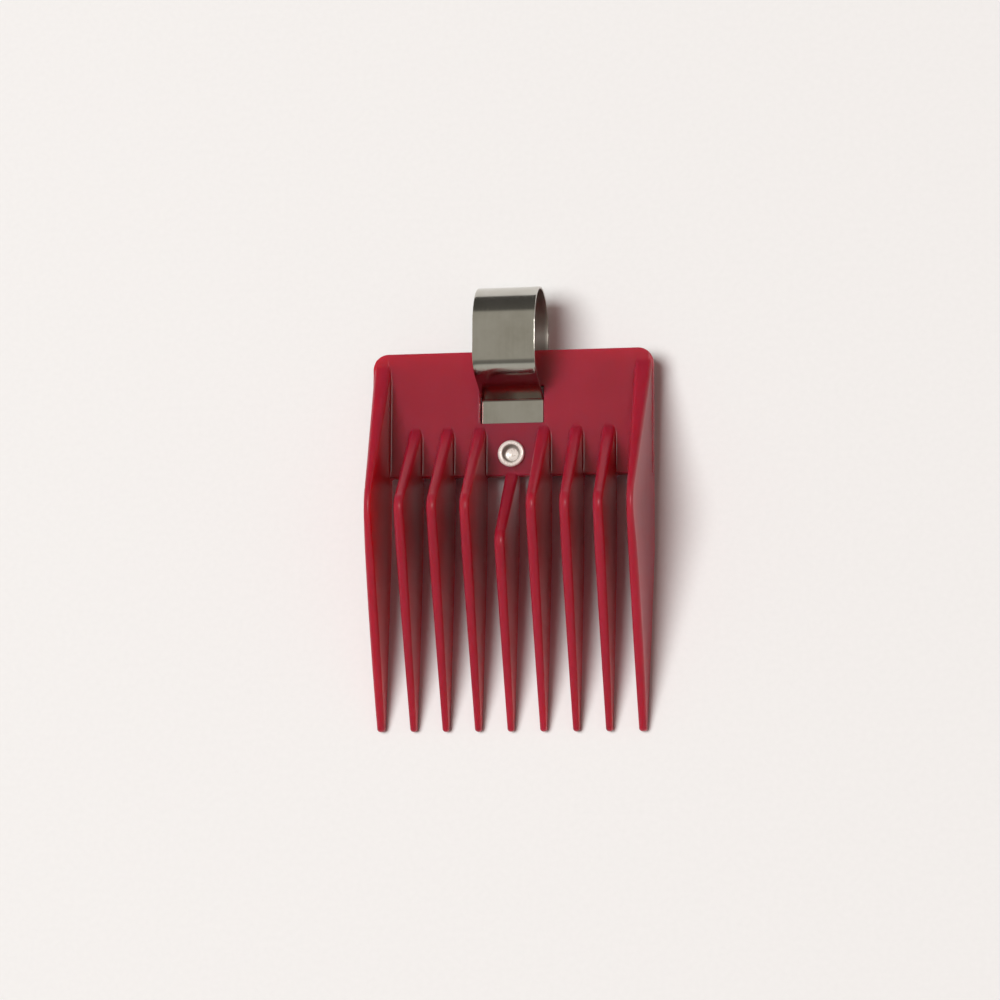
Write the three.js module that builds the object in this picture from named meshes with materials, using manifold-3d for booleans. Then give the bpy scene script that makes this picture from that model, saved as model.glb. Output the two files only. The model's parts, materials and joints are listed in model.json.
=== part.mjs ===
// Clip-on guard comb for a hair clipper: one moulded plate with nine tall teeth, and a spring
// steel clip riveted to it that grips the back of a clipper blade.
//
// Comb frame, millimetres: X to the right, Y towards the clip with 0 at the plate's rear edge,
// Z towards the skin with 0 at the plate's front face. The whole part then leans by a few
// degrees, so that it lies on the back of its clip and on its tooth tips, with Z = 0 under it.
import * as THREE from 'three';
import { mergeVertices } from 'three/addons/utils/BufferGeometryUtils.js';
import Module from 'manifold-3d';

// Plate
const PLATE_WIDTH = 55.6;
const PLATE_LENGTH = 24.7;
const PLATE_THICKNESS = 2.2;
const PLATE_CORNER = 3;

// Teeth
const TOOTH_PITCH = 6.37;
const TEETH_EACH_SIDE = 4;
const TIP_REACH = 74.3; // from the plate's rear edge to the tips
const TIP_RADIUS = 0.9;
const TIP_ROUNDING = { back: 0.81, skin: 0.72, side: 0.52 };
const PEAK = { y: -31.6, z: 16.2 };
const CREST_HALF = 0.9; // half of a tooth's thickness at the height of the peak
const BASE_HALF = 1.35; // and at the back face
const TIP_HALF = 0.65;
const TAPER_START = 40; // where the sides start to close in on the tip
const FLANK_FOOT = 15.3; // where an inner tooth's rear slope meets the plate
const OUTER_FLANK_FOOT = 2.5;
const CENTRE_FLANK_FOOT = 24.4; // the centre tooth starts later, to clear the rivet
const CREST_RADIUS = 3.5;
const OUTER_CREST_RADIUS = 8;
const OUTER_FACE_LEAN = 2.1; // the outer faces lean in by this much at the height of the peak
const OUTER_TIP_EDGE = 26.4;
const ROOT_OVERLAP = 1; // how far the centre tooth's foot runs into the plate

// Blade side of the comb
const LAND = { inner: 7.4, outer: 24.4, rear: 1.6, front: 23.4, height: 0.4 };
const RAIL = { inner: 24.9, width: 1.6, rear: 2.4, front: 24.2, height: 1.7 };
const STOP = { y: 28.2, length: 1.4, height: 1.4, half: 0.9 };
const EMBED = 0.5; // how far these reach into the plate or tooth that carries them

// Window and channel that the clip passes through
const WINDOW = { width: 12.7, rear: 7, front: 14.3 };
const CHANNEL = { width: 13, front: 23.7, depth: 1.1 };

// Spring clip: one strip, described by its centre line in the Y-Z plane
const STRIP_WIDTH = 12.2;
const STRIP_THICKNESS = 0.5;
const LEAF_END = 23.3;
const RING = { y: 3.9, z: 1.15, radius: 8.1 };
const FLANK_ANGLE = 66.4; // slope of the strip where it climbs off the plate, degrees
const FLANK_AT_PLATE = -8.75; // Y of that slope at the plate's front face
const BEND_RADIUS = 0.8;
const SHOULDER_RADIUS = 4.4;
const TAIL_ANGLE = 35; // slope of the tail as it runs back to the plate, degrees
const CONTACT_Y = -4.2; // where the free end presses
const LIP = { radius: 1.2, angle: 26, length: 1.8 };
const PIVOT_ANGLE = 45; // where the strip's flexing is hinged, from the ring's outermost point

// Rivet, radii and heights
const RIVET_Y = -20.4;
const RIVET = { shank: 2.1, bore: 1.68, boreFloor: -0.7, boreTip: -1.1 };
const RIVET_HEAD = { radius: 3.1, height: 0.65, rounding: 0.3 };
const RIVET_ROLL = { radius: 2.62, height: 0.72, foot: 0.15, rounding: 0.42 };
const ROUND_SEGMENTS = 32;

const GAP = 0.1; // between pieces that touch
const SPLIT = 0.3; // between the two lengths of the strip
const OVERSHOOT = 1; // how far a cutting solid runs past what it cuts
const ARC_STEP = 9; // degrees
const SMALL_ARC_STEP = 30; // for the rivet's roundings
const RADIANS = Math.PI / 180;

const { mapLinear } = THREE.MathUtils;
const wasm = await Module();
wasm.setup();

const material = (name, color, roughness, metalness) => {
  const made = new THREE.MeshStandardMaterial({ color, roughness, metalness });
  made.name = name;
  return made;
};
const RED_PLASTIC = material('red_plastic', 0xa82840, 0.3, 0);
const SPRING_STEEL = material('spring_steel', 0xc2beb2, 0.15, 1);
const NICKEL = material('nickel', 0xd8d5cc, 0.22, 1);

// ---- solids -----------------------------------------------------------------------------

// A closed three.js geometry as a manifold solid.
function solid(geometry) {
  geometry.deleteAttribute('normal');
  geometry.deleteAttribute('uv');
  const merged = mergeVertices(geometry, 1e-5);
  const vertProperties = new Float32Array(merged.attributes.position.array);
  const triVerts = new Uint32Array(merged.index.array);
  return new wasm.Manifold(new wasm.Mesh({ numProp: 3, vertProperties, triVerts }));
}

// A manifold solid as a three.js mesh.
function meshOf(name, body, finish) {
  const { vertProperties, triVerts } = body.getMesh();
  const geometry = new THREE.BufferGeometry();
  geometry.setAttribute('position', new THREE.BufferAttribute(vertProperties, 3));
  geometry.setIndex(new THREE.BufferAttribute(triVerts, 1));
  geometry.computeVertexNormals();
  return namedMesh(name, geometry, finish);
}

function namedMesh(name, geometry, finish) {
  const mesh = new THREE.Mesh(geometry, finish);
  mesh.name = name;
  return mesh;
}

function box(x0, x1, y0, y1, z0, z1) {
  const geometry = new THREE.BoxGeometry(x1 - x0, y1 - y0, z1 - z0);
  return solid(geometry.translate((x0 + x1) / 2, (y0 + y1) / 2, (z0 + z1) / 2));
}

// Points along an arc from one angle to another, both in degrees.
function arc(x, y, radius, from, to, step = ARC_STEP) {
  const steps = Math.max(2, Math.ceil(Math.abs(to - from) / step));
  return Array.from({ length: steps + 1 }, (_, i) => {
    const angle = (from + (to - from) * i / steps) * RADIANS;
    return [x + radius * Math.cos(angle), y + radius * Math.sin(angle)];
  });
}

const shapeOf = (points) => new THREE.Shape(points.map(([x, y]) => new THREE.Vector2(x, y)));

// A closed outline through [x, y, radius] corners, with each corner rounded by its radius.
function roundedOutline(corners, step = ARC_STEP) {
  const points = corners.flatMap(([x, y, radius = 0], i) => {
    if (radius === 0) return [[x, y]];
    const [px, py] = corners[(i + corners.length - 1) % corners.length];
    const [nx, ny] = corners[(i + 1) % corners.length];
    const back = new THREE.Vector2(px - x, py - y).normalize();
    const ahead = new THREE.Vector2(nx - x, ny - y).normalize();
    const half = Math.acos(back.dot(ahead)) / 2;
    const centre = back.clone().add(ahead).setLength(radius / Math.sin(half));
    const start = back.clone().multiplyScalar(radius / Math.tan(half)).sub(centre);
    const from = start.angle() / RADIANS;
    const sweep = (180 - 2 * half / RADIANS) * (back.cross(ahead) < 0 ? 1 : -1);
    return arc(x + centre.x, y + centre.y, radius, from, from + sweep, step);
  });
  return shapeOf(points);
}

const extrude = (shape, depth) =>
  new THREE.ExtrudeGeometry(shape, { depth, bevelEnabled: false });

// Outline drawn in Y and Z, extruded along X and centred there.
function extrudeAcross(shape, width) {
  const turn = new THREE.Matrix4().set(0, 0, 1, -width / 2, 1, 0, 0, 0, 0, 1, 0, 0, 0, 0, 0, 1);
  return extrude(shape, width).applyMatrix4(turn);
}

// ---- comb -------------------------------------------------------------------------------

const BACK = -PLATE_THICKNESS;
const TIP_CENTRE = { y: -TIP_REACH + TIP_RADIUS, z: BACK + TIP_RADIUS };

// Side view of a tooth: flat back, round tip, straight skin line, round crest, rear slope. All
// rear slopes but the outer ones are parallel, so a later foot gives a lower crest.
function toothProfile(foot, crestRadius) {
  const skin = PEAK.z / (PEAK.y + TIP_REACH);
  const slope = PEAK.z / (-PEAK.y - Math.min(foot, FLANK_FOOT));
  const crest = (slope * foot + skin * TIP_REACH) / (slope + skin);
  const root = Math.min(foot, PLATE_LENGTH - ROOT_OVERLAP);
  const corners = [
    [-root, BACK],
    [-TIP_REACH, BACK, TIP_ROUNDING.back],
    [-TIP_REACH, BACK + 2 * TIP_RADIUS, TIP_ROUNDING.skin],
    [-crest, slope * (crest - foot), crestRadius],
    [-foot, 0],
  ];
  return roundedOutline(root < foot ? [...corners, [-root, 0]] : corners);
}

// A tooth is its side view, cut to a prism with its outline from above. The prism narrows
// from the back face to the height of the peak, which gives the sides their draft.
function tooth(foot, crestRadius, left, right) {
  const width = PLATE_WIDTH + 2 * OVERSHOOT;
  const profile = solid(extrudeAcross(toothProfile(foot, crestRadius), width));
  const plan = roundedOutline([
    [left.base, 0],
    [left.base, -TAPER_START],
    [left.tip, -TIP_REACH, TIP_ROUNDING.side],
    [right.tip, -TIP_REACH, TIP_ROUNDING.side],
    [right.base, -TAPER_START],
    [right.base, 0],
  ]);
  const height = PEAK.z - BACK;
  const prism = extrude(plan, height);
  const { position } = prism.attributes;
  for (let i = 0; i < position.count; i += 1) {
    if (position.getZ(i) < height / 2) continue;
    const x = position.getX(i);
    position.setX(i, mapLinear(x, left.base, right.base, left.crest, right.crest));
  }
  return profile.intersect(solid(prism.translate(0, 0, BACK)));
}

function innerTooth(index) {
  const x = index * TOOTH_PITCH;
  const side = (sign) => ({
    base: x + sign * BASE_HALF,
    crest: x + sign * CREST_HALF,
    tip: x + sign * TIP_HALF,
  });
  const foot = index === 0 ? CENTRE_FLANK_FOOT : FLANK_FOOT;
  return tooth(foot, CREST_RADIUS, side(-1), side(1));
}

function outerTooth(sign) {
  const x = TEETH_EACH_SIDE * TOOTH_PITCH;
  const edge = PLATE_WIDTH / 2;
  const inside = { base: x - BASE_HALF, crest: x - CREST_HALF, tip: x - TIP_HALF };
  const outside = { base: edge, crest: edge - OUTER_FACE_LEAN, tip: OUTER_TIP_EDGE };
  const mirrored = (side) => ({ base: -side.base, crest: -side.crest, tip: -side.tip });
  return sign > 0
    ? tooth(OUTER_FLANK_FOOT, OUTER_CREST_RADIUS, inside, outside)
    : tooth(OUTER_FLANK_FOOT, OUTER_CREST_RADIUS, mirrored(outside), mirrored(inside));
}

function plate() {
  const half = PLATE_WIDTH / 2;
  const outline = roundedOutline([
    [-half, -PLATE_LENGTH],
    [half, -PLATE_LENGTH],
    [half, 0, PLATE_CORNER],
    [-half, 0, PLATE_CORNER],
  ]);
  return solid(extrude(outline, PLATE_THICKNESS).translate(0, 0, BACK));
}

// Lands that the blade rests on, and rails that keep it centred.
function bladeSeat(sign) {
  const raised = (inner, outer, { front, rear, height }) => {
    const [x0, x1] = sign > 0 ? [inner, outer] : [-outer, -inner];
    return box(x0, x1, -front, -rear, BACK - height, BACK + EMBED);
  };
  return raised(LAND.inner, LAND.outer, LAND).add(raised(RAIL.inner, RAIL.inner + RAIL.width, RAIL));
}

// Stop that the blade's teeth come up against, on the back of a tooth.
function bladeStop(index) {
  const x = index * TOOTH_PITCH;
  const y = -STOP.y;
  return box(x - STOP.half, x + STOP.half, y - STOP.length, y, BACK - STOP.height, BACK + EMBED);
}

function combBody() {
  let body = plate().add(bladeSeat(1)).add(bladeSeat(-1)).add(outerTooth(1)).add(outerTooth(-1));
  for (let index = 1 - TEETH_EACH_SIDE; index < TEETH_EACH_SIDE; index += 1) {
    body = body.add(innerTooth(index)).add(bladeStop(index));
  }
  const below = BACK - OVERSHOOT;
  const cut = ({ width, front }, rear, roof) =>
    box(-width / 2, width / 2, -front, -rear, below, roof);
  const window = cut(WINDOW, WINDOW.rear, OVERSHOOT);
  const channel = cut(CHANNEL, -OVERSHOOT, BACK + CHANNEL.depth);
  return body.subtract(window).subtract(channel).subtract(rivetHole());
}

function rivetHole() {
  const radius = RIVET.shank + GAP;
  const height = 2 * (PLATE_THICKNESS + OVERSHOOT);
  const hole = new THREE.CylinderGeometry(radius, radius, height, ROUND_SEGMENTS);
  return solid(hole.rotateX(Math.PI / 2).translate(0, RIVET_Y, 0));
}

// ---- spring clip ------------------------------------------------------------------------

const LEAF_Z = BACK + CHANNEL.depth - GAP - STRIP_THICKNESS / 2;

function ringPoint(degrees) {
  const angle = degrees * RADIANS;
  return [RING.y + RING.radius * Math.cos(angle), RING.z + RING.radius * Math.sin(angle)];
}

// The fixed length: leaf on the plate, bend up through the window, shoulder, front of the ring.
function fixedCentreLine(end) {
  const rise = FLANK_ANGLE * RADIANS;
  const onFlank = (z) => FLANK_AT_PLATE + z / Math.tan(rise);
  const turn = Math.tan(rise / 2);
  const top = RING.z + RING.radius;
  const bendStart = onFlank(LEAF_Z) - BEND_RADIUS * turn;
  const shoulderEnd = onFlank(top) + SHOULDER_RADIUS * turn;
  return [
    [-LEAF_END, LEAF_Z],
    ...arc(bendStart, LEAF_Z + BEND_RADIUS, BEND_RADIUS, -90, FLANK_ANGLE - 90),
    ...arc(shoulderEnd, top - SHOULDER_RADIUS, SHOULDER_RADIUS, FLANK_ANGLE + 90, 90),
    ...arc(RING.y, RING.z, RING.radius, 90, end),
  ];
}

// The moving length: rest of the ring, tail up to the plate, lip turned away at its end.
function movingCentreLine(start) {
  const last = -90 - TAIL_ANGLE;
  const [tailY, tailZ] = ringPoint(last);
  const slope = Math.tan(TAIL_ANGLE * RADIANS);
  const contactZ = tailZ + (tailY - CONTACT_Y) * slope;
  const total = TAIL_ANGLE + LIP.angle;
  const back = LIP.radius * Math.tan(total * RADIANS / 2);
  const arcStart = [
    CONTACT_Y + back * Math.cos(TAIL_ANGLE * RADIANS),
    contactZ - back * Math.sin(TAIL_ANGLE * RADIANS),
  ];
  const centreY = arcStart[0] - LIP.radius * Math.sin(TAIL_ANGLE * RADIANS);
  const centreZ = arcStart[1] - LIP.radius * Math.cos(TAIL_ANGLE * RADIANS);
  const bend = arc(centreY, centreZ, LIP.radius, 90 - TAIL_ANGLE, 90 + LIP.angle);
  const [endY, endZ] = bend[bend.length - 1];
  const out = LIP.angle * RADIANS;
  return [
    ...arc(RING.y, RING.z, RING.radius, start, last),
    ...bend,
    [endY - LIP.length * Math.cos(out), endZ - LIP.length * Math.sin(out)],
  ];
}

// A strip of even thickness around a centre line, across the comb's middle.
function strip(centreLine) {
  const points = centreLine.map(([y, z]) => new THREE.Vector2(y, z));
  const steps = points.slice(1).map((point, i) => point.clone().sub(points[i]).normalize());
  const side = (distance) => points.map((point, i) => {
    const incoming = steps[Math.max(i - 1, 0)];
    const outgoing = steps[Math.min(i, steps.length - 1)];
    const along = incoming.clone().add(outgoing).normalize();
    const reach = distance / along.dot(outgoing);
    return new THREE.Vector2(-along.y, along.x).multiplyScalar(reach).add(point);
  });
  const half = STRIP_THICKNESS / 2;
  const outline = new THREE.Shape([...side(-half), ...side(half).reverse()]);
  return solid(extrudeAcross(outline, STRIP_WIDTH));
}

const HALF_SPLIT = SPLIT / 2 / RING.radius / RADIANS;

const clipLeaf = () => strip(fixedCentreLine(PIVOT_ANGLE + HALF_SPLIT)).subtract(rivetHole());
const clipJaw = () => strip(movingCentreLine(PIVOT_ANGLE - HALF_SPLIT));

// ---- rivet ------------------------------------------------------------------------------

// Semi-tubular rivet: head under the leaf, tube through it, rolled over on the tooth side.
function rivet() {
  const headTop = LEAF_Z - STRIP_THICKNESS / 2 - GAP;
  const headFloor = headTop - RIVET_HEAD.height;
  const rollTop = GAP + RIVET_ROLL.height;
  const outline = roundedOutline([
    [0, headFloor],
    [RIVET_HEAD.radius, headFloor, RIVET_HEAD.rounding],
    [RIVET_HEAD.radius, headTop],
    [RIVET.shank, headTop],
    [RIVET.shank, GAP],
    [RIVET_ROLL.radius, GAP, RIVET_ROLL.foot],
    [RIVET_ROLL.radius, rollTop, RIVET_ROLL.rounding],
    [RIVET.bore, rollTop, RIVET_ROLL.rounding],
    [RIVET.bore, RIVET.boreFloor],
    [0, RIVET.boreTip],
  ], SMALL_ARC_STEP);
  const geometry = new THREE.LatheGeometry(outline.getPoints(), ROUND_SEGMENTS);
  return geometry.rotateX(Math.PI / 2).translate(0, RIVET_Y, 0);
}

// ---- assembly ---------------------------------------------------------------------------

// Lean at which the ring's back and the tooth tips touch the same floor.
function restingLean() {
  const span = RING.y - TIP_CENTRE.y;
  const rise = RING.z - TIP_CENTRE.z;
  const drop = RING.radius + STRIP_THICKNESS / 2 - TIP_RADIUS;
  return Math.asin(drop / Math.hypot(span, rise)) - Math.atan2(rise, span);
}

const comb = new THREE.Group();
comb.add(meshOf('comb_body', combBody(), RED_PLASTIC));
comb.add(meshOf('spring_clip_leaf', clipLeaf(), SPRING_STEEL));
comb.add(meshOf('spring_clip_jaw', clipJaw(), SPRING_STEEL));
comb.add(namedMesh('rivet', rivet(), NICKEL));
comb.rotation.x = restingLean();

// The origin is under the middle of the part.
const part = new THREE.Group();
part.add(comb);
part.updateMatrixWorld(true);
const extent = new THREE.Box3().setFromObject(part, true);
const middle = extent.getCenter(new THREE.Vector3());
comb.position.set(-middle.x, -middle.y, -extent.min.z);

export default part;
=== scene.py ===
"""Clip-on guard comb for a hair clipper, lying on a pale floor with its teeth up.

Lengths are millimetres in the comb frame: X to the right, Y towards the clip with 0 at the plate's
rear edge, Z towards the skin with 0 at the plate's front face. place() takes them to the row frame.
"""

import json
import math

import bmesh
import bpy
import numpy as np
from mathutils import Matrix, Vector


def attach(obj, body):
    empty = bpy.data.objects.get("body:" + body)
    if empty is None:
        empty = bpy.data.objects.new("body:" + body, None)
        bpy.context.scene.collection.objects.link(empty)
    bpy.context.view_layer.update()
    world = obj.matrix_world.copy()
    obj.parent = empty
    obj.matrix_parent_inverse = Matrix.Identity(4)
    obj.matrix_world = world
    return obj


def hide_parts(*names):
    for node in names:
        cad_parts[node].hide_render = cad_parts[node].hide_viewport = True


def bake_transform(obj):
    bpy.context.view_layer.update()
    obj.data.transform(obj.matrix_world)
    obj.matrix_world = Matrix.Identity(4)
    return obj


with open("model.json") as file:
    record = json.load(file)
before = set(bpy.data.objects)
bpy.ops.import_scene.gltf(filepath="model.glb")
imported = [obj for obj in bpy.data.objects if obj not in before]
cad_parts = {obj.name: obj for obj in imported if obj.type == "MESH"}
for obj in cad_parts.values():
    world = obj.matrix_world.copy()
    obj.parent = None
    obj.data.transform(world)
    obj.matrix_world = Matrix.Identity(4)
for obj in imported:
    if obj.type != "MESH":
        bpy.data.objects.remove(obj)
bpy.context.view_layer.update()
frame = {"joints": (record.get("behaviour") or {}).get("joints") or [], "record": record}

# ---- dimensions, as in the CAD ------------------------------------------------------------

PLATE_WIDTH, PLATE_LENGTH, PLATE_THICKNESS, PLATE_CORNER = 55.6, 24.7, 2.2, 3.0
TOOTH_PITCH, TEETH_EACH_SIDE = 6.37, 4
TIP_REACH, TIP_HEIGHT, TIP_HALF, TAPER_START = 74.3, 1.8, 0.65, 40.0
TIP_ROUND_BACK, TIP_ROUND_SKIN, TIP_ROUND_SIDE = 0.81, 0.72, 0.52
PEAK_LENGTH, PEAK_HEIGHT = 31.6, 16.2
CREST_HALF, BASE_HALF = 0.9, 1.35
FLANK_FOOT, OUTER_FLANK_FOOT, CENTRE_FLANK_FOOT = 15.3, 2.5, 24.4
CREST_RADIUS, OUTER_CREST_RADIUS = 3.5, 8.0
OUTER_FACE_LEAN, OUTER_TIP_EDGE = 2.1, 26.4
LAND = {"inner": 7.4, "outer": 24.4, "rear": 1.6, "front": 23.4, "height": 0.4}
RAIL = {"inner": 24.9, "outer": 26.5, "rear": 2.4, "front": 24.2, "height": 1.7}
STOP = {"rear": 28.2, "front": 29.6, "height": 1.4, "half": 0.9}
WINDOW = {"width": 12.7, "rear": 7.0, "front": 14.3}
CHANNEL = {"width": 13.0, "front": 23.7, "depth": 1.1}
STRIP_WIDTH, STRIP_THICKNESS = 12.2, 0.5
LEAF_END = 23.3
RING_Y, RING_Z, RING_RADIUS = 3.9, 1.15, 8.1
FLANK_ANGLE, FLANK_AT_PLATE = math.radians(66.4), -8.75
BEND_RADIUS, SHOULDER_RADIUS = 0.8, 4.4
TAIL_ANGLE, CONTACT_Y = math.radians(35), -4.2
LIP_RADIUS, LIP_ANGLE, LIP_LENGTH = 1.2, math.radians(26), 1.8
PIVOT_ANGLE = math.radians(45)
RIVET_Y, RIVET_SHANK, RIVET_BORE, RIVET_HEAD, RIVET_ROLL = -20.4, 2.1, 1.68, 3.1, 2.62
RIVET_HEAD_THICKNESS, RIVET_HEAD_ROUND = 0.65, 0.3
ROLL_ROUND, ROLL_RISE = 0.42, 0.3  # the rolled end's rounding, and its middle over the plate
GAP = 0.1

# ---- finish that the CAD leaves out --------------------------------------------------------

TIP_FINE = 0.85  # the last length of a tooth, with closer stations
CREST_ROUND = 0.84
BACK_ROUND = 0.22
PLATE_ROUND = 0.3
WINDOW_ROUND = 0.22
ROOT_FILLET = 0.36
FRONT_FILLET = 0.5
STRIP_ROUND = 0.09
LINE_STEP = 0.6  # the longest step along the strip
FOOT_BLEND = 0.5  # how softly a tooth's foot rises out of the plate
EMBED = 0.35  # how far a fillet reaches into the walls that it joins
HAIR = 0.01  # a step too small to see, which keeps faces of two solids from coinciding

BACK = -PLATE_THICKNESS
LEAF_Z = BACK + CHANNEL["depth"] - GAP - STRIP_THICKNESS / 2
HALF_PLATE = PLATE_WIDTH / 2

# ---- row frame ------------------------------------------------------------------------------

seat_axis = frame["record"]["mounts"][0]["axis"]
hinge = Vector(frame["joints"][0]["pos_m"])
pivot = Vector((
    0,
    RING_Y + RING_RADIUS * math.cos(PIVOT_ANGLE),
    RING_Z + RING_RADIUS * math.sin(PIVOT_ANGLE),
))
lean = Matrix.Rotation(math.atan2(seat_axis[1], -seat_axis[2]), 4, "X")
PLACE = Matrix.Translation(hinge) @ lean @ Matrix.Scale(0.001, 4) @ Matrix.Translation(-pivot)


def place(x, y, z):
    return PLACE @ Vector((x, y, z))


# ---- mesh tools -------------------------------------------------------------------------------


def new_object(name, points, faces):
    mesh = bpy.data.meshes.new(name)
    mesh.from_pydata([tuple(p) for p in points], [], faces)
    obj = bpy.data.objects.new(name, mesh)
    bpy.context.scene.collection.objects.link(obj)
    return obj


def outward(obj):
    """Turns every face of a closed mesh outwards."""
    shell = bmesh.new()
    shell.from_mesh(obj.data)
    bmesh.ops.recalc_face_normals(shell, faces=shell.faces)
    shell.to_mesh(obj.data)
    shell.free()
    return obj


def loft(name, rings):
    """Closed mesh through rings of equally many points, with a flat face at both ends."""
    count = len(rings[0])
    points = [p for ring in rings for p in ring]
    faces = [tuple(range(count)), tuple(range(len(points) - count, len(points)))]
    for i in range(len(rings) - 1):
        for j in range(count):
            a, b = i * count + j, i * count + (j + 1) % count
            faces.append((a, b, b + count, a + count))
    return outward(new_object(name, points, faces))


def combine(base, others, operation):
    for other in others:
        modifier = base.modifiers.new("combine", "BOOLEAN")
        modifier.operation = operation
        modifier.solver = "MANIFOLD"
        modifier.object = other
    graph = bpy.context.evaluated_depsgraph_get()
    result = bpy.data.meshes.new_from_object(base.evaluated_get(graph))
    base.modifiers.clear()
    base.data = result
    for other in others:
        bpy.data.objects.remove(other)
    return base


def finish_mesh(obj, material, sharp_degrees=35):
    """Moves a mesh to the row frame, with one material and shading that keeps flat faces flat."""
    obj.data.materials.clear()
    obj.data.materials.append(material)
    obj.data.polygons.foreach_set("material_index", [0] * len(obj.data.polygons))
    obj.data.transform(PLACE)
    obj.data.shade_smooth()
    obj.data.set_sharp_from_angle(angle=math.radians(sharp_degrees))
    modifier = obj.modifiers.new("normals", "WEIGHTED_NORMAL")
    modifier.keep_sharp = True
    modifier.weight = 80
    graph = bpy.context.evaluated_depsgraph_get()
    result = bpy.data.meshes.new_from_object(obj.evaluated_get(graph))
    obj.modifiers.clear()
    obj.data = result
    return obj


def arc(centre, radius, start, end, step=math.radians(3)):
    count = max(3, math.ceil(abs(end - start) / step))
    angles = np.linspace(start, end, count + 1)
    return [(centre[0] + radius * math.cos(a), centre[1] + radius * math.sin(a)) for a in angles]


def rounded_rectangle(x0, x1, y0, y1, radii, segments=10):
    """Outline from the corner at x1, y1 round to the left; radii in the same order."""
    corners = [(x1, y1, 0), (x0, y1, 1), (x0, y0, 2), (x1, y0, 3)]
    points = []
    for (x, y, turn), radius in zip(corners, radii):
        cx = x - math.copysign(radius, x - (x0 + x1) / 2)
        cy = y - math.copysign(radius, y - (y0 + y1) / 2)
        for i in range(segments + 1):
            angle = (turn + i / segments) * math.pi / 2
            points.append((cx + radius * math.cos(angle), cy + radius * math.sin(angle)))
    return points


def rounded_box(name, x, y, z, radius):
    """Box with rounded edges, between two values along each axis."""
    shell = bmesh.new()
    bmesh.ops.create_cube(shell, size=1)
    size = [abs(b - a) for a, b in (x, y, z)]
    middle = [(a + b) / 2 for a, b in (x, y, z)]
    bmesh.ops.scale(shell, vec=size, verts=shell.verts)
    bmesh.ops.translate(shell, vec=middle, verts=shell.verts)
    bmesh.ops.bevel(
        shell, geom=shell.edges[:], offset=radius, segments=3, affect="EDGES", profile=0.5
    )
    mesh = bpy.data.meshes.new(name)
    shell.to_mesh(mesh)
    shell.free()
    obj = bpy.data.objects.new(name, mesh)
    bpy.context.scene.collection.objects.link(obj)
    return outward(obj)


def fillet(name, corner, along, away, up, radii):
    """Concave fillet in a corner between two walls, with its radius at shares of its length."""
    corner, along, away, up = (Vector(v) for v in (corner, along, away, up))
    rings = []
    for share, radius in radii:
        base = corner + along * share
        curve = [
            (radius * (1 - math.cos(a)), radius * (1 - math.sin(a)))
            for a in np.linspace(math.pi / 2, 0, 8)
        ]
        outline = [(-EMBED, -EMBED), (radius, -EMBED), *curve, (-EMBED, radius)]
        rings.append([tuple(base + away * a + up * b) for a, b in outline])
    return loft(name, rings)


# ---- comb ---------------------------------------------------------------------------------------


class Profile:
    """Side view of a tooth: the heights of its skin side and of its back at each length."""

    def __init__(self, foot, crest_radius):
        skin = PEAK_HEIGHT / (TIP_REACH - PEAK_LENGTH)
        self.foot = foot
        self.slope = PEAK_HEIGHT / (PEAK_LENGTH - min(foot, FLANK_FOOT))
        self.crest = (self.slope * foot + skin * TIP_REACH) / (self.slope + skin)
        self.height = self.slope * (self.crest - foot)
        self.tip_top = BACK + TIP_HEIGHT
        self.fall = (self.height - self.tip_top) / (TIP_REACH - self.crest)
        rise, drop = math.atan(self.slope), math.atan(self.fall)
        reach = crest_radius * math.tan((rise + drop) / 2)
        self.radius = crest_radius
        self.arc_start = self.crest - reach * math.cos(rise)
        self.arc_end = self.crest + reach * math.cos(drop)
        self.centre = (
            self.arc_start + crest_radius * math.sin(rise),
            self.height - reach * math.sin(rise) - crest_radius * math.cos(rise),
        )
        self.tip_drop = drop

    def top(self, length):
        if length < self.arc_start:
            rise = self.slope * (length - self.foot)
            return (rise + math.hypot(rise, FOOT_BLEND)) / 2 - 0.12 * FOOT_BLEND
        if length < self.arc_end:
            return self.centre[1] + math.sqrt(self.radius**2 - (length - self.centre[0]) ** 2)
        middle = TIP_REACH - TIP_ROUND_SKIN
        line = self.tip_top + self.fall * (TIP_REACH - length)
        if length < middle + TIP_ROUND_SKIN * math.sin(self.tip_drop):
            return line
        centre = self.tip_top + self.fall * TIP_ROUND_SKIN
        centre -= TIP_ROUND_SKIN / math.cos(self.tip_drop)
        return centre + math.sqrt(max(TIP_ROUND_SKIN**2 - (length - middle) ** 2, 0))

    def back(self, length):
        middle = TIP_REACH - TIP_ROUND_BACK
        if length > middle:
            past = length - middle
            return BACK + TIP_ROUND_BACK - math.sqrt(max(TIP_ROUND_BACK**2 - past**2, 0))
        buried = np.clip((PLATE_LENGTH - 0.4 - length) / 0.8, 0, 1)
        return BACK + HAIR + 0.6 * buried

    def stations(self):
        start = min(self.foot - 1.4, PLATE_LENGTH - 1)
        tip = TIP_REACH - TIP_FINE
        swell = np.linspace(0, math.pi / 2, 9)[1:]
        return np.unique(np.concatenate([
            np.arange(start, self.foot + 2, 0.25),
            np.arange(self.foot + 2, self.arc_start, 0.9),
            np.linspace(self.arc_start, self.arc_end, 14),
            np.linspace(self.arc_end, tip, 26),
            tip + TIP_FINE * np.sin(swell),
        ]).round(6))


def edge_at(edge, length, height, other):
    """X of one side of a tooth, at a length and a height."""
    taper = np.clip((length - TAPER_START) / (TIP_REACH - TAPER_START), 0, 1)
    flat = edge["base"] + (edge["tip"] - edge["base"]) * taper
    crest = edge["crest"] + (flat - edge["base"]) * (edge["crest"] - other["crest"]) / (
        edge["base"] - other["base"]
    )
    share = (height - BACK) / (PEAK_HEIGHT - BACK)
    return flat * (1 - share) + crest * share


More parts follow.
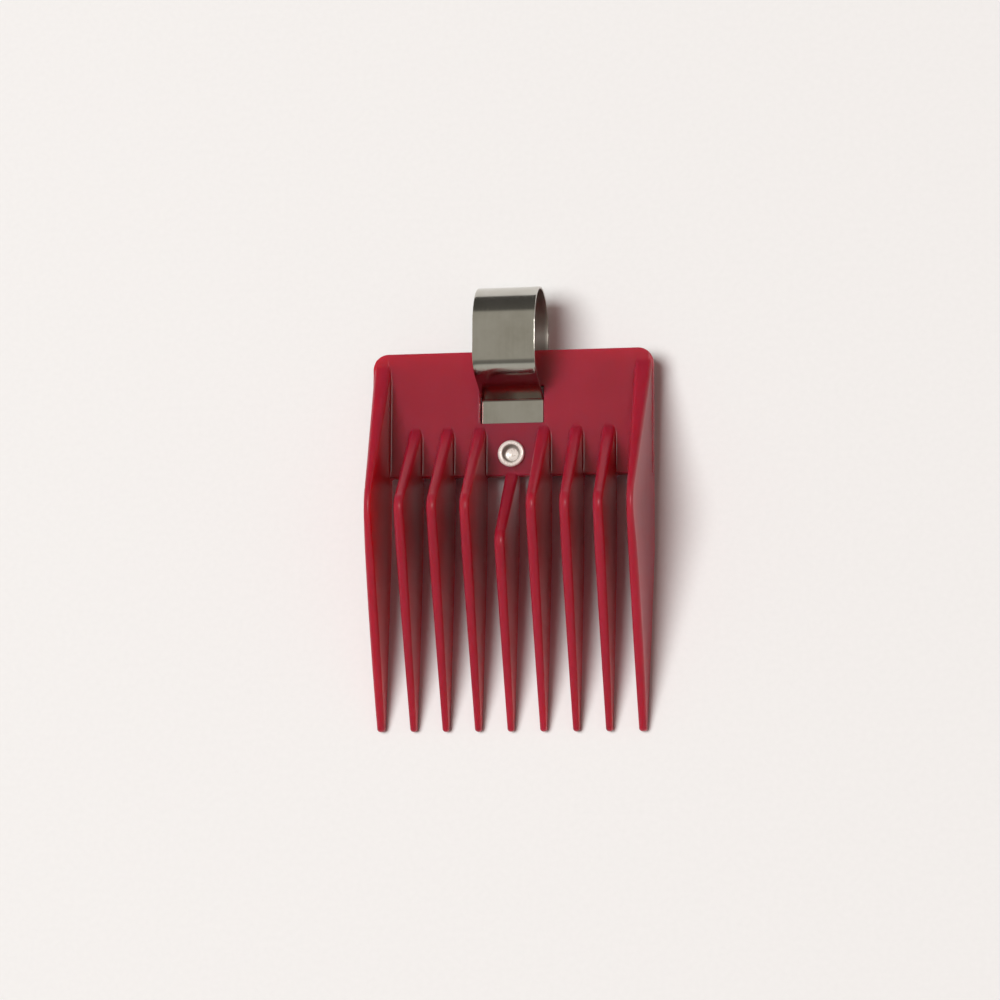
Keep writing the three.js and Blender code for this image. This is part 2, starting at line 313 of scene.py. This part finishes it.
def plate_reach(length):
    """How far the plate's rounded corner reaches out to the side."""
    short = max(PLATE_CORNER - length, 0)
    return HALF_PLATE - PLATE_CORNER + math.sqrt(PLATE_CORNER**2 - short**2)


def tooth(name, foot, crest_radius, left, right):
    profile = Profile(foot, crest_radius)
    rings = []
    for length in profile.stations():
        top, back = profile.top(length), profile.back(length)
        lift = (profile.top(length - 0.01) - top) / 0.01
        stretch = min(math.hypot(1, lift), 1.5)
        end = min(max(length - (TIP_REACH - TIP_ROUND_SIDE), 0), TIP_ROUND_SIDE)
        inset = TIP_ROUND_SIDE - math.sqrt(TIP_ROUND_SIDE**2 - end**2)
        half = (edge_at(right, length, top, left) - edge_at(left, length, top, right)) / 2 - inset
        crest = min(CREST_ROUND, half * 0.92, (top - back) * 0.45)
        foot_round = min(BACK_ROUND, half * 0.8, (top - back) * 0.3)
        heights = []
        for a in np.linspace(-math.pi / 2, 0, 4):
            heights.append((back + foot_round * (1 + math.sin(a)), foot_round * (1 - math.cos(a))))
        low, high = back + foot_round, top - crest * stretch
        if high > low:
            heights += [(h, 0.0) for h in np.linspace(low, high, 9)[1:-1]]
        else:
            heights += [(low, 0.0)] * 7
            high = low
        for a in np.linspace(0, math.pi / 2, 9):
            heights.append((high + (top - high) * math.sin(a), crest * (1 - math.cos(a))))
        limit = plate_reach(length)
        ring = []
        for h, cut in heights:
            x = edge_at(right, length, h, left) - inset - cut
            ring.append((min(x, limit), -length, h))
        for h, cut in reversed(heights):
            x = edge_at(left, length, h, right) + inset + cut
            ring.append((max(x, -limit), -length, h))
        rings.append(ring)
    return loft(name, rings)


def inner_edges(index):
    x = index * TOOTH_PITCH
    return [
        {"base": x + s * BASE_HALF, "crest": x + s * CREST_HALF, "tip": x + s * TIP_HALF}
        for s in (-1, 1)
    ]


def outer_edges(sign):
    x = TEETH_EACH_SIDE * TOOTH_PITCH
    inside = {"base": x - BASE_HALF, "crest": x - CREST_HALF, "tip": x - TIP_HALF}
    outside = {
        "base": HALF_PLATE,
        "crest": HALF_PLATE - OUTER_FACE_LEAN,
        "tip": OUTER_TIP_EDGE,
    }
    if sign > 0:
        return [inside, outside]
    return [{k: -v for k, v in edge.items()} for edge in (outside, inside)]


def plate():
    rings = []
    side = HALF_PLATE - HAIR
    for z, inset in plate_layers():
        radius = PLATE_CORNER - inset
        outline = rounded_rectangle(
            -side + inset, side - inset, -PLATE_LENGTH + inset, -inset, (radius, radius, 0.2, 0.2)
        )
        rings.append([(x, y, z) for x, y in outline])
    return loft("comb", rings)


def plate_layers():
    """Heights through the plate, each with how far its rounded edge lies in."""
    quarter = np.linspace(0, math.pi / 2, 6)
    edge = [(PLATE_ROUND * (1 - math.cos(a)), PLATE_ROUND * (1 - math.sin(a))) for a in quarter]
    return [(BACK + z, inset) for z, inset in edge] + [(-z, inset) for z, inset in edge[::-1]]


def root_fillets(edge, sign, foot):
    """Fillets where one side of a tooth stands on the plate and meets its front edge."""
    other = {key: edge[key] - sign for key in ("base", "crest")}
    x = edge_at(edge, 0, 0, other) - sign * HAIR
    start = foot + 0.6
    span = PLATE_LENGTH - PLATE_ROUND - start
    away = (sign, 0, 0)
    lying = fillet(
        "root",
        (x, -start, 0),
        (0, -span, 0),
        away,
        (0, 0, 1),
        [(0, 0.04), (0.06, 0.6 * ROOT_FILLET), (0.12, ROOT_FILLET), (0.94, ROOT_FILLET), (1, 0.12)],
    )
    standing = fillet(
        "front",
        (x, -PLATE_LENGTH, BACK + BACK_ROUND),
        (0, 0, PLATE_THICKNESS - BACK_ROUND - PLATE_ROUND),
        away,
        (0, -1, 0),
        [(0, FRONT_FILLET), (0.55, FRONT_FILLET), (0.8, FRONT_FILLET * 0.7), (1, 0.08)],
    )
    return [lying, standing]


def comb_body():
    solids = []
    for index in range(1 - TEETH_EACH_SIDE, TEETH_EACH_SIDE):
        left, right = inner_edges(index)
        foot = CENTRE_FLANK_FOOT if index == 0 else FLANK_FOOT
        solids.append(tooth("tooth", foot, CREST_RADIUS, left, right))
        if index:
            solids += root_fillets(left, -1, foot) + root_fillets(right, 1, foot)
        x = index * TOOTH_PITCH
        solids.append(
            rounded_box(
                "stop",
                (x - STOP["half"], x + STOP["half"]),
                (-STOP["front"], -STOP["rear"]),
                (BACK - STOP["height"], BACK + 0.5),
                0.15,
            )
        )
    for sign in (-1, 1):
        edges = outer_edges(sign)
        solids.append(tooth("tooth", OUTER_FLANK_FOOT, OUTER_CREST_RADIUS, *edges))
        solids += root_fillets(edges[0] if sign > 0 else edges[1], -sign, OUTER_FLANK_FOOT)
        for part in (LAND, RAIL):
            x = sorted((sign * part["inner"], sign * part["outer"]))
            y = (-part["front"], -part["rear"])
            solids.append(rounded_box("seat", x, y, (BACK - part["height"], BACK + 0.5), 0.12))
    body = combine(plate(), solids, "UNION")
    return combine(body, cutters(), "DIFFERENCE")


def cutters():
    """The window with its rounded upper edge, the clip's channel, and the rivet's hole."""
    window = []
    quarter = np.linspace(0, math.pi / 2, 6)
    flare = [(WINDOW_ROUND * (math.sin(a) - 1), WINDOW_ROUND * (1 - math.cos(a))) for a in quarter]
    for z, grow in [(BACK - 1, 0), *flare, (1, WINDOW_ROUND)]:
        half = WINDOW["width"] / 2 + grow
        outline = rounded_rectangle(
            -half, half, -WINDOW["front"] - grow, -WINDOW["rear"] + grow, (0.35 + grow,) * 4, 6
        )
        window.append([(x, y, z) for x, y in outline])
    half = CHANNEL["width"] / 2
    channel = rounded_box(
        "channel", (-half, half), (-CHANNEL["front"], 3), (BACK - 3, BACK + CHANNEL["depth"]), 0.15
    )
    return [loft("window", window), channel, rivet_hole(BACK - 1, 1)]


def rivet_hole(low, high):
    outline = arc((0, 0), RIVET_SHANK + GAP, 0, math.tau * 95 / 96)
    return loft("hole", [[(x, RIVET_Y + y, z) for x, y in outline] for z in (low, high)])


# ---- clip ---------------------------------------------------------------------------------------


def clip_line():
    """The strip's centre line from the end of its leaf to its lip, as evenly fine points."""
    turn = math.tan(FLANK_ANGLE / 2)
    top = RING_Z + RING_RADIUS

    def on_flank(z):
        return FLANK_AT_PLATE + z / math.tan(FLANK_ANGLE)

    bend = on_flank(LEAF_Z) - BEND_RADIUS * turn
    shoulder = on_flank(top) + SHOULDER_RADIUS * turn
    right = math.pi / 2
    last = -right - TAIL_ANGLE
    tail = (RING_Y + RING_RADIUS * math.cos(last), RING_Z + RING_RADIUS * math.sin(last))
    contact = (CONTACT_Y, tail[1] + (tail[0] - CONTACT_Y) * math.tan(TAIL_ANGLE))
    back = LIP_RADIUS * math.tan((TAIL_ANGLE + LIP_ANGLE) / 2)
    lip = (
        contact[0] + back * math.cos(TAIL_ANGLE) - LIP_RADIUS * math.sin(TAIL_ANGLE),
        contact[1] - back * math.sin(TAIL_ANGLE) - LIP_RADIUS * math.cos(TAIL_ANGLE),
    )
    fine = math.radians(6)
    lip_arc = arc(lip, LIP_RADIUS, right - TAIL_ANGLE, right + LIP_ANGLE, fine)
    end = lip_arc[-1]
    corners = [
        (-LEAF_END, LEAF_Z),
        *arc((bend, LEAF_Z + BEND_RADIUS), BEND_RADIUS, -right, FLANK_ANGLE - right, fine),
        *arc((shoulder, top - SHOULDER_RADIUS), SHOULDER_RADIUS, FLANK_ANGLE + right, right),
        *arc((RING_Y, RING_Z), RING_RADIUS, right, last),
        *lip_arc,
        (end[0] - LIP_LENGTH * math.cos(LIP_ANGLE), end[1] - LIP_LENGTH * math.sin(LIP_ANGLE)),
    ]
    points = [np.array(corners[0])]
    for corner in corners[1:]:
        step = np.array(corner) - points[-1]
        length = np.linalg.norm(step)
        if length < 1e-6:
            continue
        pieces = max(1, round(length / LINE_STEP))
        start = points[-1]
        points += [start + step * i / pieces for i in range(1, pieces + 1)]
    return np.array(points)


def strip_section(divisions=22):
    """The strip's cross-section: across and through, with its sheared edges slightly rounded."""
    across = STRIP_WIDTH / 2 - STRIP_ROUND
    through = STRIP_THICKNESS / 2 - STRIP_ROUND
    quarter = np.linspace(0, math.pi / 2, 4)
    corner = [
        (across + STRIP_ROUND * math.cos(a), through + STRIP_ROUND * math.sin(a)) for a in quarter
    ]
    face = [(x, STRIP_THICKNESS / 2) for x in np.linspace(across, -across, divisions)[1:-1]]
    half = corner + face + [(-x, n) for x, n in reversed(corner)]
    return half + [(-x, -n) for x, n in half]


def spring_clip():
    line = clip_line()
    step = np.gradient(line, axis=0)
    step /= np.linalg.norm(step, axis=1)[:, None]
    normal = np.stack([-step[:, 1], step[:, 0]], axis=1)
    along = np.concatenate([[0], np.cumsum(np.linalg.norm(np.diff(line, axis=0), axis=1))])
    section = strip_section()
    rings = []
    for (y, z), (ny, nz), s in zip(line, normal, along):
        ring = []
        for x, n in section:
            n -= strip_dip(x, s)
            ring.append((x, y + ny * n, z + nz * n))
        rings.append(ring)
    clip = loft("spring_clip", rings)
    return combine(clip, [rivet_hole(BACK - 1, 0)], "DIFFERENCE")


def strip_dip(x, s):
    """How far the rolled strip lies in from its true surface: slightly wavy, and hollow across."""
    wave = math.sin(0.55 * s + 0.4 * x) * math.sin(0.31 * s - 0.52 * x + 1.3)
    ripple = math.sin(1.35 * s + 0.2 * x + 0.7)
    return 0.022 + 0.008 * wave + 0.002 * ripple + 0.012 * (1 - (2 * x / STRIP_WIDTH) ** 2)


# ---- rivet --------------------------------------------------------------------------------------


def rivet_profile():
    """Radius and height from the middle of the head, out and up, to the middle of the cup."""
    head_top = LEAF_Z - STRIP_THICKNESS / 2 - GAP
    head_low = head_top - RIVET_HEAD_THICKNESS
    middle = GAP + ROLL_RISE
    half = math.pi / 2
    curl = math.radians(9)
    roll = arc((RIVET_ROLL - ROLL_ROUND, middle), ROLL_ROUND, -0.5, half, curl)
    mouth = arc((RIVET_BORE + ROLL_ROUND, middle), ROLL_ROUND, half, 2 * half, curl)
    rim = (RIVET_HEAD - RIVET_HEAD_ROUND, head_low + RIVET_HEAD_ROUND)
    return [
        (0, head_low),
        (RIVET_HEAD * 0.5, head_low),
        *arc(rim, RIVET_HEAD_ROUND, -half, 0, math.radians(15)),
        (RIVET_HEAD, head_top),
        (RIVET_SHANK, head_top),
        (RIVET_SHANK, GAP),
        (RIVET_ROLL - 0.14, GAP),
        *roll,
        *mouth,
        (RIVET_BORE, -0.2),
        (RIVET_BORE, -0.62),
        (RIVET_BORE - 0.1, -0.74),
        (RIVET_BORE * 0.5, -0.93),
        (RIVET_BORE * 0.12, -1.07),
        (0, -1.1),
    ]


def rivet():
    """A semi-tubular rivet: head behind the leaf, tube through it, and its end rolled over."""
    turns = 96
    profile = rivet_profile()
    points, faces = [], []
    for i in range(turns):
        angle = math.tau * i / turns
        for r, z in profile[1:-1]:
            rolled = np.clip((z - GAP) / 0.6, 0, 1)
            r += 0.012 * rolled * (math.sin(3 * angle + 0.6) - 1)
            points.append((r * math.cos(angle), RIVET_Y + r * math.sin(angle), z))
    rows = len(profile) - 2
    low, high = len(points), len(points) + 1
    points += [(0, RIVET_Y, profile[0][1]), (0, RIVET_Y, profile[-1][1])]
    for i in range(turns):
        a, b = i * rows, (i + 1) % turns * rows
        faces.append((low, b, a))
        faces += [(a + j, b + j, b + j + 1, a + j + 1) for j in range(rows - 1)]
        faces.append((a + rows - 1, b + rows - 1, high))
    return outward(new_object("rivet", points, faces))


# ---- materials ----------------------------------------------------------------------------------


class Nodes:
    """A short way to write the nodes of a material or a world."""

    def __init__(self, owner, shader="Principled BSDF"):
        self.owner = owner
        owner.use_nodes = True
        self.tree = owner.node_tree
        self.shader = self.tree.nodes[shader]

    def add(self, kind, settings=None, **inputs):
        node = self.tree.nodes.new(kind)
        for key, value in (settings or {}).items():
            setattr(node, key, value)
        for key, value in inputs.items():
            self.put(node, key.replace("_", " "), value)
        return node

    def put(self, node, key, value):
        socket = node.inputs[int(key)] if key.isdigit() else node.inputs[key]
        if isinstance(value, bpy.types.NodeSocket):
            self.tree.links.new(value, socket)
        else:
            socket.default_value = value

    def math(self, operation, a, b=0.0, clamp=False):
        node = self.add("ShaderNodeMath", {"operation": operation, "use_clamp": clamp})
        self.put(node, "0", a)
        self.put(node, "1", b)
        return node.outputs[0]

    def place(self, scale, turn=(0, 0, 0)):
        """Object coordinates, turned and scaled."""
        where = self.add("ShaderNodeTexCoord").outputs["Object"]
        return self.add(
            "ShaderNodeMapping", Vector=where, Scale=scale, Rotation=[math.radians(a) for a in turn]
        ).outputs[0]

    def noise(self, vector, scale=1.0, detail=3.0, roughness=0.5):
        return self.add(
            "ShaderNodeTexNoise", Vector=vector, Scale=scale, Detail=detail, Roughness=roughness
        ).outputs["Fac"]

    def ramp(self, value, low, high, out_low=0.0, out_high=1.0):
        """Straight ramp from one range to another, held at both ends."""
        return self.add(
            "ShaderNodeMapRange",
            Value=value,
            From_Min=low,
            From_Max=high,
            To_Min=out_low,
            To_Max=out_high,
        ).outputs[0]

    def mix(self, share, a, b):
        node = self.add("ShaderNodeMix", {"data_type": "RGBA"})
        self.put(node, "0", share)
        self.put(node, "6", a)
        self.put(node, "7", b)
        return node.outputs[2]

    def reach(self, centre, axes):
        """Distance from a line through centre, across two axes."""
        where = self.add("ShaderNodeSeparateXYZ", Vector=self.place((1, 1, 1)))
        away = [self.math("SUBTRACT", where.outputs[i], centre[i]) for i in axes]
        return self.math("SQRT", self.math("ADD", *[self.math("MULTIPLY", a, a) for a in away]))

    def bump(self, height, strength, distance, normal=None):
        node = self.add("ShaderNodeBump", Height=height, Strength=strength, Distance=distance)
        if normal is not None:
            self.put(node, "Normal", normal)
        return node.outputs[0]

    def hairlines(self, scale, turn, width):
        """Fine straight scratches: the thin crests of a noise drawn out along one direction."""
        lines = self.noise(self.place(scale, turn), detail=1.0)
        off = self.math("ABSOLUTE", self.math("SUBTRACT", lines, 0.5))
        return self.ramp(off, 0.0, width, 1.0, 0.0)


def red_plastic():
    """Moulded crimson plastic: glossy, slightly translucent, with fine scuffs and dulled edges."""
    n = Nodes(bpy.data.materials.new("red_plastic"))
    tone = n.noise(n.place((45, 45, 45)), detail=2.0)
    flow = n.noise(n.place((500, 40, 120)), detail=2.0)
    dark, light = (0.26, 0.010, 0.028, 1), (0.32, 0.014, 0.038, 1)
    colour = n.mix(n.ramp(tone, 0.3, 0.7), dark, light)
    within = n.add("ShaderNodeAmbientOcclusion", {"inside": True, "samples": 8}, Distance=0.0004)
    edge = n.ramp(within.outputs["AO"], 0.93, 0.6)
    worn = n.math("MULTIPLY", edge, n.ramp(n.noise(n.place((700, 700, 700))), 0.35, 0.7, 0.2, 1.0))
    patch = n.ramp(n.noise(n.place((90, 60, 90)), detail=2.0), 0.52, 0.75)
    scratch = n.math(
        "MAXIMUM",
        n.hairlines((900, 14, 60), (0, 0, 24), 0.006),
        n.hairlines((16, 1000, 60), (0, 0, -17), 0.005),
    )
    scratch = n.math("MULTIPLY", scratch, patch)
    cells = n.add("ShaderNodeTexVoronoi", Vector=n.place((260, 260, 260)), Scale=1.0)
    chance = n.add("ShaderNodeSeparateColor", Color=cells.outputs["Color"]).outputs[0]
    speck = n.math(
        "MULTIPLY",
        n.ramp(cells.outputs["Distance"], 0.03, 0.055, 1.0, 0.0),
        n.ramp(chance, 0.86, 0.88),
    )
    marks = n.math("MAXIMUM", n.math("MULTIPLY", scratch, 0.15), n.math("MULTIPLY", speck, 0.45))
    marks = n.math("MAXIMUM", marks, n.math("MULTIPLY", worn, 0.12))
    colour = n.mix(marks, colour, (0.50, 0.10, 0.12, 1))
    rough = n.ramp(flow, 0.3, 0.7, 0.285, 0.35)
    rough = n.math("ADD", rough, n.math("MULTIPLY", worn, 0.08), True)
    skin = n.noise(n.place((1600, 1600, 1600)), detail=2.0)
    normal = n.bump(skin, 0.10, 0.00004)
    n.put(n.shader, "Base Color", colour)
    n.put(n.shader, "Roughness", rough)
    n.put(n.shader, "Normal", normal)
    n.put(n.shader, "IOR", 1.49)
    n.put(n.shader, "Subsurface Weight", 1.0)
    n.put(n.shader, "Subsurface Radius", (1.0, 0.08, 0.16))
    n.put(n.shader, "Subsurface Scale", 0.012)
    return n.owner


def spring_steel():
    """Polished spring strip: rolling streaks along its length, faint stains and bright edges, with
    painted shade from its bend up the flank and inside its ring.
    """
    n = Nodes(bpy.data.materials.new("spring_steel"))
    streak = n.noise(n.place((2600, 55, 55)), detail=3.0)
    broad = n.noise(n.place((420, 30, 30)), detail=2.0)
    stain = n.noise(n.place((140, 140, 140)), detail=4.0, roughness=0.6)
    colour = n.mix(n.ramp(stain, 0.4, 0.7), (0.60, 0.585, 0.54, 1), (0.52, 0.50, 0.45, 1))
    colour = n.mix(n.ramp(streak, 0.35, 0.65, 0.0, 0.10), colour, (0.70, 0.69, 0.66, 1))
    fine = n.hairlines((1500, 25, 25), (0, 0, 8), 0.006)
    # Painted shade: inside the ring the strip is coloured darker, standing in for the dim
    # reflection it holds there. It is also made rougher there.
    radius = n.reach(place(0, RING_Y, RING_Z), (1, 2))
    inside = n.ramp(radius, (RING_RADIUS - 0.05) / 1000, RING_RADIUS / 1000, 1.0, 0.0)
    # Painted shade: from the bend up the flank the strip is coloured darker, standing in for the
    # shaded plate that it reflects there.
    along = n.add("ShaderNodeSeparateXYZ", Vector=n.place((1, 1, 1))).outputs[1]
    rear, front = place(0, -5.5, 8)[1], place(0, -9.9, LEAF_Z)[1]
    bend = n.math(
        "MULTIPLY",
        n.ramp(along, front, front + 0.0002),
        n.ramp(along, rear - 0.0006, rear + 0.0012, 1.0, 0.0),
    )
    # Painted shade: the flank and the inside of the ring are mixed towards a dark brown.
    painted_shade = n.math("MAXIMUM", n.math("MULTIPLY", bend, 0.8), n.math("MULTIPLY", inside, 0.4))
    colour = n.mix(painted_shade, colour, (0.17, 0.11, 0.09, 1))
    rough = n.ramp(streak, 0.3, 0.7, 0.12, 0.17)
    rough = n.math("ADD", rough, n.math("MULTIPLY", fine, 0.09), True)
    rough = n.math("ADD", rough, n.math("MULTIPLY", inside, 0.25), True)
    normal = n.bump(streak, 0.05, 0.00001)
    normal = n.bump(broad, 0.12, 0.00003, normal)
    normal = n.bump(fine, 0.15, 0.00001, normal)
    n.put(n.shader, "Base Color", colour)
    n.put(n.shader, "Metallic", 1.0)
    n.put(n.shader, "Roughness", rough)
    n.put(n.shader, "Normal", normal)
    return n.owner


def nickel():
    """Bright nickel plate with the marks of the tool that rolled the rivet over, and painted shade
    on the wall of its bore.
    """
    n = Nodes(bpy.data.materials.new("nickel"))
    grain = n.noise(n.place((1900, 1900, 1900)), detail=3.0)
    pits = n.noise(n.place((3400, 3400, 3400)), detail=3.0)
    colour = n.mix(n.ramp(pits, 0.56, 0.68), (0.95, 0.92, 0.87, 1), (0.62, 0.58, 0.52, 1))
    radius = n.reach(place(0, RIVET_Y, 0), (0, 1))
    # Painted shade: the bore's wall inside the rolled end is coloured dark, where shade falls in
    # the hollow.
    painted_bore_shade = n.math(
        "MULTIPLY",
        n.ramp(radius, 0.00118, 0.00135),
        n.ramp(radius, 0.00170, 0.00180, 1.0, 0.0),
    )
    colour = n.mix(n.math("MULTIPLY", painted_bore_shade, 0.72), colour, (0.16, 0.14, 0.11, 1))
    rough = n.ramp(grain, 0.3, 0.7, 0.28, 0.46)
    normal = n.bump(grain, 0.25, 0.00006)
    normal = n.bump(pits, 0.45, 0.00006, normal)
    n.put(n.shader, "Base Color", colour)
    n.put(n.shader, "Metallic", 0.45)
    n.put(n.shader, "Roughness", rough)
    n.put(n.shader, "Normal", normal)
    return n.owner


def floor_paper():
    """Matt white paper."""
    n = Nodes(bpy.data.materials.new("floor_paper"))
    fibre = n.noise(n.place((900, 900, 900)), detail=4.0)
    colour = n.mix(fibre, (0.78, 0.84, 0.84, 1), (0.82, 0.88, 0.88, 1))
    n.put(n.shader, "Base Color", colour)
    n.put(n.shader, "Roughness", 0.7)
    n.put(n.shader, "Normal", n.bump(fibre, 0.05, 0.00005))
    return n.owner


# ---- the part -----------------------------------------------------------------------------------

comb = finish_mesh(comb_body(), red_plastic())
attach(comb, "comb")
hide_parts("comb_body")

clip = finish_mesh(spring_clip(), spring_steel(), 50)
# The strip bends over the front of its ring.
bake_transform(clip)
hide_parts("spring_clip_leaf", "spring_clip_jaw")

rivet_object = finish_mesh(rivet(), nickel(), 50)
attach(rivet_object, "comb")
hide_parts("rivet")

# ---- floor, light and camera --------------------------------------------------------------------

FLOOR_HALF = 3
AIM = Vector((0, 0, 0.01))  # the middle of the part

corners = ((-1, -1), (1, -1), (1, 1), (-1, 1))
floor = new_object("floor", [(x * FLOOR_HALF, y * FLOOR_HALF, 0) for x, y in corners], [range(4)])
floor.data.materials.append(floor_paper())


def area_light(name, location, size, power, colour):
    data = bpy.data.lights.new(name, "AREA")
    data.shape = "DISK"
    data.size = size
    data.energy = power
    data.color = colour
    light = bpy.data.objects.new(name, data)
    light.location = location
    light.rotation_euler = (AIM - light.location).to_track_quat("-Z", "Y").to_euler()
    bpy.context.scene.collection.objects.link(light)
    return light


key = area_light("key", (-1.38, -0.06, 3.91), 2.3, 174, (1.0, 0.985, 0.965))
key.visible_glossy = False
glint = area_light("glint", (1.56, 0.60, 3.67), 0.6, 43, (1.0, 0.99, 0.97))
glint.visible_diffuse = False


def studio():
    """Soft surroundings, darker overhead behind the lens and in a low band beyond the clip.

    Diffuse rays see them at half strength, and red straight overhead: a stand-in for the red light
    that translucent teeth pass into the gaps between them.
    """
    world = bpy.data.worlds.new("studio")
    bpy.context.scene.world = world
    n = Nodes(world, "Background")
    way = n.add("ShaderNodeSeparateXYZ", Vector=n.add("ShaderNodeTexCoord").outputs["Generated"])
    bands = n.add("ShaderNodeValToRGB", Fac=n.ramp(way.outputs["Y"], -1, 1))
    stops = [
        (0.0, (0.75, 0.75, 0.70)),
        (0.075, (0.55, 0.55, 0.50)),
        (0.11, (0.16, 0.155, 0.14)),
        (0.19, (0.20, 0.19, 0.17)),
        (0.25, (0.42, 0.40, 0.35)),
        (0.79, (0.42, 0.40, 0.35)),
        (0.83, (0.10, 0.095, 0.085)),
        (0.99, (0.08, 0.075, 0.07)),
    ]
    points = bands.color_ramp.elements
    while len(points) < len(stops):
        points.new(0.5)
    for point, (position, colour) in zip(points, stops):
        point.position = position
        point.color = (*colour, 1)
    diffuse = n.add("ShaderNodeLightPath").outputs["Is Diffuse Ray"]
    overhead = n.ramp(way.outputs["Z"], 0.8, 0.97, 0.0, diffuse)
    n.put(n.shader, "Color", n.mix(overhead, bands.outputs[0], (1.05, 0.08, 0.11, 1)))
    n.put(n.shader, "Strength", n.ramp(diffuse, 0.0, 1.0, 1.0, 0.5))


studio()

camera_data = bpy.data.cameras.new("camera")
camera_data.lens = 94.4
camera = bpy.data.objects.new("camera", camera_data)
camera.location = (0.0893, -0.0999, 0.4960)
camera.rotation_euler = [math.radians(a) for a in (11.667, 10.358, 0.992)]
bpy.context.scene.collection.objects.link(camera)
bpy.context.scene.camera = camera
bpy.context.scene.view_settings.view_transform = "Standard"
